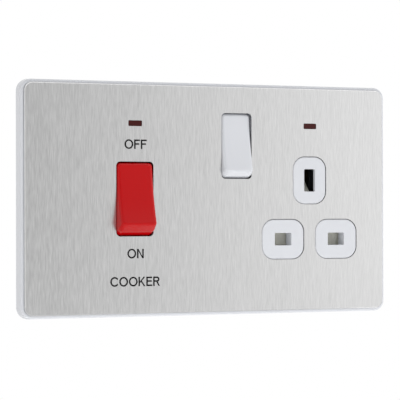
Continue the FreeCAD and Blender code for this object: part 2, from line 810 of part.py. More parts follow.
def rocker_room(kind, x, z, rear):
    """The room in which a rocker swings, with its two axle holes."""
    width = f"{kind}_opening_width"
    around = f"sqrt({kind}_shoulder_reach ^ 2 + {kind}_shoulder_half ^ 2)"
    room = block(span(x, width), (rear, "body_front + overcut"), span(z, f"2 * ({around} + rocker_end_play)"))
    axle = f"{width} - 2 * rocker_side_gap + 2 * (axle_overhang + axle_hole_extra)"
    hole = rod("right", f"{x} - ({axle}) / 2", "axle_front", z, "axle_radius + axle_play", axle)
    return [room, hole]


def post_rooms(posts, rear):
    rooms = []
    for x, z in posts:
        rooms.append(rod("forward", x, f"{WEB_BACK} - post_length - post_play", z, "post_radius + post_play",
                         "post_length + post_play + overcut"))
        rooms.append(rod("forward", x, f"{rear} - overcut", z, "body_screw_radius + body_screw_clearance",
                         f"body_front + overcut - ({rear})"))
    return rooms


def neon_room(x, rear):
    return block(span(x, "neon_room_width"), (rear, "body_front + overcut"),
                 span(NEON_Z, "neon_room_height"))


NEUTRAL_CONTACT = "(socket_x - pin_spacing / 2)"


def neutral_link_band(grow):
    return span("neutral_link_z", f"neutral_link_height + 2 * {grow}")


def neutral_link_run(grow, high_front):
    """The stretch of the neutral link from the supply strip to below the neutral contact."""
    return block((f"cooker_x - terminal_across - {grow}",
                  f"{NEUTRAL_CONTACT} + line_leaf_width / 2 + {grow}"),
                 (f"neutral_link_front - strip_thick - {grow}", high_front), neutral_link_band(grow))


def neutral_link_leg(grow, low_front, high_front):
    """The end that steps back onto the supply strip."""
    return block((f"cooker_x - terminal_across - {grow}",
                  f"cooker_x - terminal_across + strip_thick + {grow}"),
                 (low_front, high_front), neutral_link_band(grow))


def neutral_link_rise(grow, high_front):
    """The end that turns up to the neutral contact's lower leaf."""
    return block(span(NEUTRAL_CONTACT, f"line_leaf_width + 2 * {grow}"),
                 (f"neutral_link_front - strip_thick - {grow}", high_front),
                 ("neutral_link_z", "pin_row_z - line_pin_gap / 2 - leaf_thick"))


def cooker_switch_housing():
    """Front moulding of the cooker switch: it carries the rocker and closes over the strips."""
    shell = moulding_block(span("cooker_x", "2 * cooker_body_half_width"), (STRIP_FRONT, "body_front"),
                           span("cooker_z", "2 * cooker_body_half_height"))
    cuts = rocker_room("cooker", "cooker_x", "cooker_z", f"{STRIP_FRONT} - overcut")
    cuts += post_rooms(POSTS[:2], STRIP_FRONT)
    cuts.append(neon_room("cooker_neon_x", "split_front"))
    link_top = "neutral_link_front + strip_play"
    cuts.append(neutral_link_run("strip_play", link_top))
    cuts.append(neutral_link_leg("strip_play", f"{STRIP_FRONT} - overcut", link_top))
    keep("cooker_switch_housing", less(shell, cuts))


def live_link_run(grow, front):
    """The stretch of the live link from the supply strip to below the socket's rocker."""
    return block((f"cooker_x + terminal_across + terminal_width / 2 - {grow}",
                  f"switch_x + strip_width / 2 + {grow}"),
                 (f"{STRIP_BACK} - {grow}", front),
                 (f"cooker_z - strip_turn_high - {grow}", f"cooker_z - strip_turn_low + {grow}"))


def live_link_rise(grow, front):
    """The stretch that turns up and becomes the supply plate of the socket's switch."""
    return block(span("switch_x", f"strip_width + 2 * {grow}"), (f"{STRIP_BACK} - {grow}", front),
                 (f"cooker_z - strip_turn_high - {grow}", f"switch_z + feed_plate_high + {grow}"))


def switched_strip_rooms(grow, front):
    """Boxes of the strip from the socket's switch to its live contact."""
    half = f"(strip_width / 2 + {grow})"
    tall = f"(feed_strip_height / 2 + {grow})"
    wide = f"(feed_strip_width / 2 + {grow})"
    layer = (f"{STRIP_BACK} - {grow}", front)
    top = f"feed_strip_z + {tall}"
    return [
        block((f"switch_x - {half}", f"switch_x + {half}"), layer,
              (f"switch_z + load_plate_low - {grow}", top)),
        block((f"switch_x - {half}", f"feed_strip_x + {wide}"), layer, (f"feed_strip_z - {tall}", top)),
        block((f"feed_strip_x - {wide}", f"feed_strip_x + {wide}"), layer,
              ("pin_row_z + line_pin_gap / 2 + leaf_thick", top)),
    ]


def links():
    keep("live_link", joined([live_link_run("0", STRIP_FRONT), live_link_rise("0", STRIP_FRONT)]))
    keep("neutral_link", joined([
        neutral_link_run("0", "neutral_link_front"),
        neutral_link_leg("0", STRIP_FRONT, "neutral_link_front"),
        neutral_link_rise("0", "neutral_link_front"),
    ]))
    keep("switched_live_strip", joined(switched_strip_rooms("0", STRIP_FRONT)))


def terminal_rooms():
    """Pockets for the cooker terminals, with screw holes from the rear and cable holes at the ends."""
    rooms = []
    bore_front = f"{STRIP_BACK} - terminal_depth / 2"
    for side in POLES.values():
        x = f"cooker_x + {side} * terminal_across"
        for up, low in ENDS.values():
            z = f"cooker_z + {up} * terminal_z"
            rooms.append(block(span(x, "terminal_width + 2 * terminal_play"),
                               (f"{STRIP_BACK} - terminal_depth - terminal_play", f"{STRIP_FRONT} + overcut"),
                               span(z, "terminal_height + 2 * terminal_play")))
            rooms.append(rod("forward", x, "rear_front - overcut", z, "screw_hole_radius",
                             "terminal_depth"))
            end = ("cooker_z + terminal_z", "cooker_z - terminal_z - terminal_height")[up < 0]
            rooms.append(rod("up", x, bore_front, end, "cable_hole_radius", "terminal_height"))
    return rooms


def cooker_switch_base():
    """Rear moulding of the cooker switch, deeper at its ends where the terminals are."""
    layer = ("rear_front", STRIP_FRONT)
    solid = bevelled_block(span("cooker_x", "2 * cooker_body_half_width"), layer,
                           span("cooker_z", "2 * cooker_body_half_height"))
    cuts = [block(("cooker_x - cooker_body_half_width - overcut",
                   "cooker_x + cooker_body_half_width + overcut"),
                  ("rear_front - overcut", "middle_rear_front"),
                  span("cooker_z", "2 * middle_half"))]
    for pole, side in POLES.items():
        for end, (up, low) in ENDS.items():
            cuts += strip_boxes(side, up, low, "0", "strip_play", f"{STRIP_FRONT} + overcut", STRIP_BACK)
    cuts += terminal_rooms()
    cuts.append(live_link_run("strip_play", f"{STRIP_FRONT} + overcut"))
    for x, z in POSTS[:2]:
        cuts.append(rod("forward", x, "middle_rear_front - overcut", z,
                        "body_screw_radius + body_screw_clearance",
                        "3 * terminal_depth"))
    keep("cooker_switch_base", less(solid, cuts))


def notch(front):
    """Room for the wall box's fixing lug on the right."""
    return block(("notch_left", "socket_body_right + overcut"), front, ("-notch_half", "notch_half"))


SOCKET_WIDTH = ("socket_body_left", "socket_body_right")
SOCKET_HEIGHT = ("socket_body_bottom", "socket_body_top")


def socket_front():
    """Front moulding of the socket: three pads with the pin apertures, and the shutter's channel."""
    body = new_body("socket_front")
    middle_x = "(socket_body_left + socket_body_right) / 2"
    middle_z = "(socket_body_bottom + socket_body_top) / 2"
    flange = sketch_on(body, "XZ_Plane", middle_x, middle_z, "split_front")
    rounded(flange, "socket_body_right - socket_body_left", "socket_body_top - socket_body_bottom",
            "body_corner")
    pad(body, flange, "body_front - split_front")
    pads = [(*EARTH_PAD, "earth_pad_width", "earth_pad_height")]
    pads += [(x, z, "line_pad_width", "line_pad_height") for x, z in LINE_PADS]
    for x, z, width, height in pads:
        drawing = sketch_on(body, "XZ_Plane", x, z, "body_front")
        last = pad(body, rounded(drawing, width, height, "pad_corner"), "steel_front - body_front")
    front = worth("steel_front")
    softened(body, "Chamfer", last, lambda edge: in_plane(edge, front), "pad_edge")
    for x, z in LINE_PADS:
        drawing = sketch_on(body, "XZ_Plane", x, z, "steel_front")
        pocket(body, rounded(drawing, "line_slot_width", "line_slot_height", "slot_corner"),
               "steel_front - split_front")
    drawing = sketch_on(body, "XZ_Plane", *EARTH_PAD, "steel_front")
    pocket(body, rounded(drawing, "earth_slot_width", "earth_slot_height", "slot_corner"),
           "steel_front - split_front")
    drawing = sketch_on(body, "XZ_Plane", *EARTH_PAD, "steel_front - earth_wall")
    pocket(body, rounded(drawing, "earth_room_width", "earth_room_height", "slot_corner"),
           "steel_front - earth_wall - split_front")
    half = "(shutter_half_height + shutter_side_play)"
    drawing = sketch_on(body, "XZ_Plane", "socket_x", "pin_row_z - shutter_travel / 2", "split_front")
    rounded(drawing, "2 * (shutter_half_width + shutter_side_play)", f"2 * {half} + shutter_travel",
            "slot_corner")
    channel = "shutter_thick + 2 * shutter_play"
    pocket(body, drawing, channel, forwards=True)
    top = "(pin_row_z + earth_rise - earth_room_height / 2)"
    foot = "(pin_row_z - shutter_half_height - shutter_spring_length)"
    drawing = sketch_on(body, "XZ_Plane", "socket_x", f"({top} + {foot}) / 2", "split_front")
    rounded(drawing, "shutter_stem + 2 * shutter_side_play", f"{top} - {foot} + 2 * slot_corner",
            "slot_corner")
    pocket(body, drawing, channel, forwards=True)
    low = "(ramp_foot_z - ramp_step - shutter_travel - shutter_side_play)"
    drawing = sketch_on(body, "XZ_Plane", "socket_x", f"({top} + {low}) / 2", "split_front")
    rounded(drawing, "shutter_stem + 2 * shutter_side_play", f"{top} - {low} + 2 * slot_corner",
            "slot_corner")
    pocket(body, drawing, "ramp_front + shutter_side_play - split_front", forwards=True)
    whole = less(body, rocker_room("switch", "switch_x", "switch_z", "split_front - overcut")
                 + post_rooms(POSTS[2:], "split_front")
                 + [neon_room("socket_neon_x", "split_front - overcut"),
                    notch(("split_front - overcut", "body_front + overcut"))])
    pieces.remove(body)
    body.Label = "socket_front_moulding"
    keep("socket_front", whole)


def line_contact(label, x):
    """Folded brass clip for a live or neutral pin: two leaves, above and below, on a web."""
    half = "line_pin_gap / 2"
    wide = span(x, "line_leaf_width")
    upper = block(wide, ("line_leaf_rear", "line_leaf_front"),
                  (f"pin_row_z + {half}", f"pin_row_z + {half} + leaf_thick"))
    lower = block(wide, ("line_leaf_rear", "line_leaf_front"),
                  (f"pin_row_z - {half} - leaf_thick", f"pin_row_z - {half}"))
    web = block(wide, ("line_leaf_rear - leaf_thick", "line_leaf_rear"),
                (f"pin_row_z - {half} - leaf_thick", f"pin_row_z + {half} + leaf_thick"))
    keep(label, joined([upper, lower, web]))


def earth_contact():
    """Earth clip: two leaves beside the pin, on a strip that runs up to the earth bar."""
    half = "earth_pin_gap / 2"
    z = "pin_row_z + earth_rise"
    leaves = [
        block(aside("socket_x", side, half, f"{half} + leaf_thick"), ("earth_leaf_rear", "earth_leaf_front"),
              span(z, "earth_leaf_width"))
        for side in (1, -1)
    ]
    rear = ("earth_leaf_rear - earth_strip_thick", "earth_leaf_rear")
    foot = block(span("socket_x", "earth_pin_gap + 2 * leaf_thick"), rear,
                 (f"{z} - earth_leaf_width / 2", "earth_bar_z - earth_bar_height / 4"))
    top = block(span("socket_x", "2 * earth_bar_half_width"), rear, span("earth_bar_z", "earth_bar_height"))
    holes = [rod("forward", f"socket_x + {side} * earth_bar_bore_across",
                 "earth_leaf_rear - 3 * earth_strip_thick",
                 "earth_bar_z", "screw_radius + screw_play", "6 * earth_strip_thick") for side in (1, -1)]
    keep("earth_contact", less(joined([*leaves, foot, top]), holes))


def earth_terminal():
    """Brass bar with two cable bores along Z and a screw for each from the rear."""
    solid = block(span("socket_x", "2 * earth_bar_half_width"), ("earth_leaf_rear", "earth_bar_front"),
                  span("earth_bar_z", "earth_bar_height"))
    middle = "(earth_leaf_rear + earth_bar_front) / 2"
    cuts = []
    screws = []
    for side in (1, -1):
        x = f"socket_x + {side} * earth_bar_bore_across"
        cuts.append(rod("up", x, middle, "earth_bar_z - earth_bar_height", "earth_bar_bore_radius",
                        "2 * earth_bar_height"))
        cuts.append(rod("forward", x, "earth_leaf_rear - overcut", "earth_bar_z", "screw_radius + screw_play",
                        f"{middle} - earth_leaf_rear + overcut"))
        screws.append(terminal_screw(x, f"{middle} - earth_bar_bore_radius", "earth_bar_z"))
    keep("earth_terminal", less(solid, cuts))
    return screws


def contact_rooms():
    """Pockets of the three socket contacts, the earth bar and the shutter's ramp in the rear moulding.

    The earth bar's pocket is open at the top, where its cables come in.
    """
    mouth = "split_front + overcut"
    rooms = []
    for x, z in LINE_PADS:
        rooms.append(block(span(x, "line_leaf_width + 2 * contact_room"),
                           ("line_leaf_rear - leaf_thick - contact_room", mouth),
                           span(z, "line_pin_gap + 2 * leaf_thick + 2 * contact_room")))
    z = "pin_row_z + earth_rise"
    rear = "earth_leaf_rear - earth_strip_thick"
    rooms.append(block(span("socket_x", "earth_pin_gap + 2 * leaf_thick + 2 * contact_room"),
                       (rear, mouth), (f"{z} - earth_leaf_width / 2 - contact_room",
                                       "earth_bar_z - earth_bar_height / 4")))
    rooms.append(block(span("socket_x", "2 * (earth_bar_half_width + terminal_play)"), (rear, mouth),
                       ("earth_bar_z - earth_bar_height / 2 - terminal_play", "socket_body_top + overcut")))
    ramp_rear = "ramp_front - shutter_travel - 2 * shutter_play"
    rooms.append(block(span("socket_x", "shutter_stem + 2 * shutter_side_play"), (ramp_rear, mouth),
                       ("ramp_foot_z - 2 * shutter_travel - shutter_side_play",
                        "ramp_foot_z + shutter_travel + shutter_side_play")))
    for side in (1, -1):
        x = f"socket_x + {side} * earth_bar_bore_across"
        rooms.append(rod("forward", x, "rear_front - overcut", "earth_bar_z", "screw_hole_radius",
                         f"{rear} + overcut - rear_front + overcut"))
    return rooms


def socket_base():
    """Rear moulding of the socket and its switch."""
    solid = bevelled_block(SOCKET_WIDTH, ("rear_front", "split_front"), SOCKET_HEIGHT)
    mouth = "split_front + overcut"
    cuts = [notch(("rear_front - overcut", mouth))]
    around = "sqrt(switch_shoulder_reach ^ 2 + switch_shoulder_half ^ 2)"
    cuts.append(block(span("switch_x", "switch_opening_width"), (STRIP_FRONT, mouth),
                      span("switch_z", f"2 * ({around} + rocker_end_play)")))
    cuts.append(live_link_run("strip_play", mouth))
    cuts.append(live_link_rise("strip_play", mouth))
    cuts += switched_strip_rooms("strip_play", mouth)
    cuts.append(neutral_link_run("strip_play", mouth))
    cuts.append(neutral_link_rise("strip_play", mouth))
    cuts += contact_rooms()
    for x, z in POSTS[2:]:
        cuts.append(rod("forward", x, "middle_rear_front - overcut", z,
                        "body_screw_radius + body_screw_clearance",
                        "3 * terminal_depth"))
        cuts.append(rod("forward", x, "rear_front - overcut", z, "screw_hole_radius",
                        "middle_rear_front - rear_front + overcut"))
    keep("socket_base", less(solid, cuts))


def shutter():
    """Plastic shutter: a plate over both line apertures, a stem, and the ramp that the earth pin pushes."""
    body = new_body("shutter")
    front = "(split_front + shutter_play + shutter_thick)"
    back = "(split_front + shutter_play)"
    plate = sketch_on(body, "XZ_Plane", "socket_x", "pin_row_z", back)
    rounded(plate, "2 * shutter_half_width", "2 * shutter_half_height", "slot_corner")
    pad(body, plate, "shutter_thick")
    stem = sketch_on(body, "YZ_Plane", "0", "0", "socket_x")
    outline(stem, [
        (f"-{front}", "pin_row_z"),
        (f"-{front}", "ramp_foot_z - ramp_step"),
        ("-ramp_front", "ramp_foot_z - ramp_step"),
        ("-ramp_front", "ramp_foot_z"),
        ("shutter_travel - ramp_front", "ramp_foot_z + shutter_travel"),
        ("shutter_travel - ramp_front", "ramp_foot_z - shutter_travel"),
        (f"-{back}", "ramp_foot_z - shutter_travel"),
        (f"-{back}", "pin_row_z"),
    ])
    pad(body, stem, "shutter_stem", midplane=True)
    spigot = sketch_on(body, "XY_Plane", "socket_x", f"-({front} + {back}) / 2",
                       "pin_row_z - shutter_half_height")
    pad(body, circle(spigot, "shutter_spigot_radius"), "shutter_spigot_length", backwards=True)


def shutter_spring():
    spring = coil("shutter_spring", "shutter_spring_radius - shutter_spring_wire / 2", "shutter_spring_wire",
                  "shutter_spring_turns", "shutter_spring_length")
    put(spring, "socket_x", "split_front + shutter_play + shutter_thick / 2",
        "pin_row_z - shutter_half_height - shutter_spring_length + shutter_spring_wire / 2")


def neon_set(kind):
    """Lens with its hidden flange, and the lamp and resistor that lie behind it."""
    x = f"{kind}_neon_x"
    body = new_body(f"{kind}_neon_lens")
    flange = sketch_on(body, "XZ_Plane", x, NEON_Z, "body_front - lens_flange_thick")
    rounded(flange, "neon_room_width - 2 * lamp_play", "neon_room_height - 2 * lamp_play", "lens_corner")
    pad(body, flange, "lens_flange_thick")
    window = sketch_on(body, "XZ_Plane", x, NEON_Z, "body_front - lens_flange_thick / 2")
    rounded(window, "lens_width - 2 * lens_play", "lens_height - 2 * lens_play", "lens_corner")
    pad(body, window, "steel_front - lens_recess - body_front + lens_flange_thick / 2")
    left = f"{x} - neon_room_width / 2 + 2 * lamp_play"
    bulb = rod("right", left, "split_front + lamp_radius", NEON_Z, "lamp_radius", "lamp_length")
    keep(f"{kind}_neon_lamp", bulb)
    core = rod("right", f"{left} + lamp_length + lamp_gap", "split_front + resistor_radius", NEON_Z,
               "resistor_radius", "resistor_length")
    keep(f"{kind}_neon_resistor", core)


def check(things):
    """Stop if any object failed or any piece is null or not valid."""
    for thing in doc.Objects:
        if "Invalid" in thing.State or "Error" in thing.State:
            raise RuntimeError(f"{thing.Label} failed: {thing.State}")
    for thing in things:
        if thing.Shape.isNull() or not thing.Shape.isValid() or not thing.Shape.Solids:
            raise RuntimeError(f"{thing.Label} has no valid solid")


face_plate()
mounting_frame()
rocker("cooker_rocker", "cooker", "cooker_x", "cooker_z", ["pole_offset", "-pole_offset"])
rocker("socket_rocker", "switch", "switch_x", "switch_z", ["0"])
for pole, side in POLES.items():
    pole_x = f"cooker_x + {side} * pole_offset"
    plunger(f"cooker_{pole}_plunger", "cooker", pole_x, "cooker_z")
    plunger_spring(f"cooker_{pole}_spring", "cooker", pole_x, "cooker_z")
    rocking_contact(f"cooker_{pole}_contact", pole_x, "cooker_z")
plunger("socket_plunger", "switch", "switch_x", "switch_z")
plunger_spring("socket_plunger_spring", "switch", "switch_x", "switch_z")
rocking_contact("socket_switch_contact", "switch_x", "switch_z")
cooker_strips()
all_terminal_screws = cooker_terminals()
links()
cooker_switch_housing()
cooker_switch_base()
socket_front()
socket_base()
line_contact("neutral_contact", LINE_PADS[0][0])
line_contact("live_contact", LINE_PADS[1][0])
earth_contact()
all_terminal_screws += earth_terminal()
keep("terminal_screws", grouped(all_terminal_screws))
body_screws()
shutter()
shutter_spring()
neon_set("cooker")
neon_set("socket")

doc.recompute()
check(pieces)
os.makedirs("parts", exist_ok=True)
for piece in pieces:
    piece.Shape.exportStep(f"parts/{piece.Label}.step")
    print(f"{piece.Label}: {len(piece.Shape.Solids)} solid, {piece.Shape.Volume:.1f} mm3")
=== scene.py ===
"""Looks of a cooker control unit, built round its packed construction model.

The unit is a flush plate of brushed stainless steel in a white moulded frame, with a red double pole
cooker switch, a white socket switch, two red neon windows and a three pin socket with a shutter.
Every place is in metres in the frame of the construction model: the plate's middle lies in the wall
plane at the origin, the plate faces -Y, +X is its right and +Z is up.
"""

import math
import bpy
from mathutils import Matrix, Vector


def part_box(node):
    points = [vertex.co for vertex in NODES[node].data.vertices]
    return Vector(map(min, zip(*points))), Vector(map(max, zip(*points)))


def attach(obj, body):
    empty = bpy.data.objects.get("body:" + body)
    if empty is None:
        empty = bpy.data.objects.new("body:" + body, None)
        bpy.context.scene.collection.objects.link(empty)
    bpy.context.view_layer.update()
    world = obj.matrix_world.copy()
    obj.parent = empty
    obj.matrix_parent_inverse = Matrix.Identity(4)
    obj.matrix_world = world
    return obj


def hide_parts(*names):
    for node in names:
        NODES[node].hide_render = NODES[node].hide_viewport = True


bl_info = {
    "name": "Cooker control unit looks",
    "version": (1, 0, 0),
    "blender": (4, 5, 0),
    "location": "3D View > Sidebar > Cooker Unit",
    "description": "Finishes, lettering, lamps and camera for a cooker control unit",
    "category": "Material",
}

import bpy
from bpy.props import FloatProperty, FloatVectorProperty, PointerProperty, StringProperty
from bpy.types import Operator, Panel, PropertyGroup
from mathutils import Matrix, Vector

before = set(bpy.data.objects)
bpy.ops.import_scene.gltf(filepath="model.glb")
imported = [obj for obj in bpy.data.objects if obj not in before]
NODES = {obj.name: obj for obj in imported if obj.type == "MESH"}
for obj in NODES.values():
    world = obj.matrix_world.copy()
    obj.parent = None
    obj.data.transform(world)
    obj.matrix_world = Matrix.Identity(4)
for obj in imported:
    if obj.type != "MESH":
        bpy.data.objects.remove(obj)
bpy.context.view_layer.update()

MM = 0.001
PLATE = "plate"
WHITE = (1, 1, 1, 1)
STEEL_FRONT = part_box("face_plate")[0].y
SENSOR_WIDTH = 36.0
FLOOR_REACH = 4.0
CORNER_STEPS = 6
# Edges that bend by more than this stay sharp.
SHARP_ANGLE = math.radians(30)
# Each printed word's piece, its text, and the X and Z of its middle in millimetres.
WORDS = (
    ("lettering_off", "OFF", -29.7, 20.0),
    ("lettering_on", "ON", -29.8, -19.9),
    ("lettering_cooker", "COOKER", -29.96, -30.1),
)
# Each soft lamp's name, place, width and height in metres, and whether gloss mirrors it. Its power is in
# the stage's settings.
LAMPS = (
    ("low", (-0.1, -0.45, -0.4), (0.9, 0.3), False),
    ("edge", (0.12, -0.16, -0.42), (0.6, 0.1), True),
    ("left", (-1.2, -0.5, 0.1), (0.9, 1.4), False),
    ("right", (0.9, -0.3, 0.15), (0.6, 1.2), False),
    ("back", (0.2, 1.1, 0.5), (1.2, 1.0), False),
)
# Where the world that gloss mirrors grows brighter: the setting that says how much, the axis of the
# ray's direction, and the values of that axis between which the brightness rises.
RISES = (
    ("to_right", "X", 0.26, 0.5),
    ("to_left", "X", -0.4, -0.9),
    ("overhead", "Z", 0.5, 0.9),
)


def linear(code):
    """Turns an sRGB colour written as "#RRGGBB" into the linear RGBA that shaders take."""
    channels = [int(code[place:place + 2], 16) / 255 for place in (1, 3, 5)]
    curved = [c / 12.92 if c <= 0.04045 else ((c + 0.055) / 1.055) ** 2.4 for c in channels]
    return (*curved, 1.0)


def add_node(tree, kind, values=None, links=None, **settings):
    """Adds a node: settings are its own options, values its sockets' numbers, links what feeds them."""
    made = tree.nodes.new(kind)
    for option, setting in settings.items():
        setattr(made, option, setting)
    for socket, number in (values or {}).items():
        made.inputs[socket].default_value = number
    for socket, source in (links or {}).items():
        tree.links.new(source, made.inputs[socket])
    return made


def new_material(name, values):
    """A material with one Principled surface, and the tree and shader that its pattern is added to."""
    material = bpy.data.materials.new(name)
    material.use_nodes = True
    tree = material.node_tree
    tree.nodes.clear()
    shader = add_node(tree, "ShaderNodeBsdfPrincipled", values)
    add_node(tree, "ShaderNodeOutputMaterial", links={"Surface": shader.outputs["BSDF"]})
    return material, tree, shader


def dress(material, *names):
    """Gives CAD nodes one material."""
    for name in names:
        mesh = NODES[name].data
        mesh.materials.clear()
        mesh.materials.append(material)


class SteelSettings(PropertyGroup):
    """The brushed plate."""

    colour: StringProperty(
        name="Steel colour", description="Colour of the brushed stainless steel", default="#E1E1E1")
    line_width: FloatProperty(
        name="Line width", description="Width of one brushed line, drawn coarse enough to show",
        default=0.36 * MM, unit="LENGTH", subtype="DISTANCE")
    line_length: FloatProperty(
        name="Line length", description="Length of one brushed line",
        default=4 * MM, unit="LENGTH", subtype="DISTANCE")
    streak_width: FloatProperty(
        name="Streak width", description="Width of the soft streaks that several lines make together",
        default=1.6 * MM, unit="LENGTH", subtype="DISTANCE")
    streak_length: FloatProperty(
        name="Streak length", description="Length of a soft streak",
        default=16 * MM, unit="LENGTH", subtype="DISTANCE")
    roughness: FloatProperty(
        name="Roughness", description="Roughness of the brushed face", default=0.22, subtype="FACTOR")
    spread: FloatProperty(
        name="Spread", description="How much more the brushing spreads a reflection across than along",
        default=0.7, subtype="FACTOR")
    streak_share: FloatProperty(
        name="Streak share", description="How much of the pattern is streaks; the rest is lines",
        default=0.15, subtype="FACTOR")
    contrast: FloatProperty(
        name="Contrast", description="How far a line's colour is darker or lighter than the steel's",
        default=0.18, subtype="FACTOR")
    roughness_drift: FloatProperty(
        name="Roughness drift", description="How far a line's roughness differs from the face's",
        default=0.03, subtype="FACTOR")
    line_depth: FloatProperty(
        name="Line depth", description="Depth of a brushed line",
        default=0.02 * MM, unit="LENGTH", subtype="DISTANCE")
    relief: FloatProperty(
        name="Relief", description="How strongly a line's depth bends the light", default=0.03,
        subtype="FACTOR")


class PlasticSettings(PropertyGroup):
    """The mouldings, and the small parts of the neon lamps."""

    white: StringProperty(
        name="White", description="Colour of the frame, socket front and white rocker", default="#DFE1E6")
    red: StringProperty(name="Red", description="Colour of the cooker rocker", default="#C00409")
    shutter: StringProperty(name="Shutter", description="Colour of the shutter", default="#DCDBCE")
    housing: StringProperty(
        name="Bodies", description="Colour of the thermoset bodies behind the plate", default="#1D1E20")
    lens: StringProperty(name="Lens", description="Colour of the neon windows", default="#4A0806")
    glass: StringProperty(name="Glass", description="Colour of the neon lamps' glass", default="#F6EFE6")
    lacquer: StringProperty(name="Lacquer", description="Colour of the resistors", default="#CDB58A")
    cloud: FloatProperty(
        name="Cloud size", description="Size of the faint clouds of shade in the mouldings",
        default=18 * MM, unit="LENGTH", subtype="DISTANCE")
    cloud_shade: FloatProperty(
        name="Cloud shade", description="How bright the darkest cloud is beside the colour",
        default=0.97, subtype="FACTOR")
    grain_depth: FloatProperty(
        name="Grain depth", description="Depth of the moulded grain",
        default=0.01 * MM, unit="LENGTH", subtype="DISTANCE")
    grain: FloatProperty(
        name="Moulded grain", description="Size of the fine texture that the mould leaves",
        default=0.25 * MM, unit="LENGTH", subtype="DISTANCE")


class SocketSettings(PropertyGroup):
    """The inside of the socket's front moulding."""

    pad_middle: FloatVectorProperty(
        name="Earth pad's middle", description="Middle of the earth pad, along X and Z", size=2,
        default=(40.65 * MM, 7.13 * MM), unit="LENGTH")
    pad_size: FloatVectorProperty(
        name="Earth pad's size", description="Width and height of the earth pad", size=2,
        default=(13.6 * MM, 17.7 * MM), unit="LENGTH")
    front_wall: FloatProperty(
        name="Front wall", description="Thickness of the earth pad's face",
        default=1.4 * MM, unit="LENGTH", subtype="DISTANCE")
    side_wall: FloatProperty(
        name="Side wall", description="Thickness of the earth pad's sides",
        default=1.2 * MM, unit="LENGTH", subtype="DISTANCE")
    room_corner: FloatProperty(
        name="Room's corner", description="Corner radius of the room behind the earth pad",
        default=3.5 * MM, unit="LENGTH", subtype="DISTANCE")
    row_height: FloatProperty(
        name="Pin row", description="Height of the live and neutral apertures' middles",
        default=-15.1 * MM, unit="LENGTH", subtype="DISTANCE")
    shutter_half: FloatProperty(
        name="Shutter's half height", description="Half the height of the shutter's wide part",
        default=2.9 * MM, unit="LENGTH", subtype="DISTANCE")
    shutter_front: FloatProperty(
        name="Shutter's front", description="Where the shutter's wide part begins, along Y",
        default=-0.4 * MM, unit="LENGTH", subtype="DISTANCE")
    flange_front: FloatProperty(
        name="Flange's front", description="Where the flange under the plate begins, along Y",
        default=-3 * MM, unit="LENGTH", subtype="DISTANCE")
    shutter_gap: FloatProperty(
        name="Shutter's gap", description="Free space before the shutter",
        default=0.75 * MM, unit="LENGTH", subtype="DISTANCE")
    ledge_sides: FloatVectorProperty(
        name="Ledge's sides", description="Left and right ends of the ledge behind the right pad", size=2,
        default=(50 * MM, 61.5 * MM), unit="LENGTH")
    ledge_heights: FloatVectorProperty(
        name="Ledge's heights", description="Foot and top of the ledge behind the right pad", size=2,
        default=(-10 * MM, -7 * MM), unit="LENGTH")


class MetalSettings(PropertyGroup):
    """The metalwork inside and behind."""

    brass: StringProperty(name="Brass", description="Colour of the pressed brass", default="#C8A866")
    zinc: StringProperty(name="Zinc", description="Colour of the zinc plated screws", default="#BFC3C6")
    wire: StringProperty(name="Wire", description="Colour of the spring wire", default="#8F9296")
    tarnish: FloatProperty(
        name="Tarnish size", description="Size of the clouds of tarnish on the metal",
        default=3 * MM, unit="LENGTH", subtype="DISTANCE")


class LetteringSettings(PropertyGroup):
    """The printed function words."""

    colour: StringProperty(name="Ink", description="Colour of the printed ink", default="#08080A")
    cap_height: FloatProperty(
        name="Capital height", description="Height of a capital letter",
        default=3.45 * MM, unit="LENGTH", subtype="DISTANCE")
    stroke: FloatProperty(
        name="Stroke", description="Width of a letter's stroke",
        default=0.57 * MM, unit="LENGTH", subtype="DISTANCE")
    gap: FloatProperty(
        name="Gap", description="Space between letters, as a share of a capital's height",
        default=0.1, subtype="FACTOR")
    thickness: FloatProperty(
        name="Ink thickness", description="How far the ink stands proud of the steel",
        default=0.03 * MM, unit="LENGTH", subtype="DISTANCE")
    patch: FloatProperty(
        name="Patch size", description="Size of the patches where the ink is thinner",
        default=1.5 * MM, unit="LENGTH", subtype="DISTANCE")
    patch_shade: FloatProperty(
        name="Patch shade", description="How bright thin ink is beside the ink's colour", default=1.25)


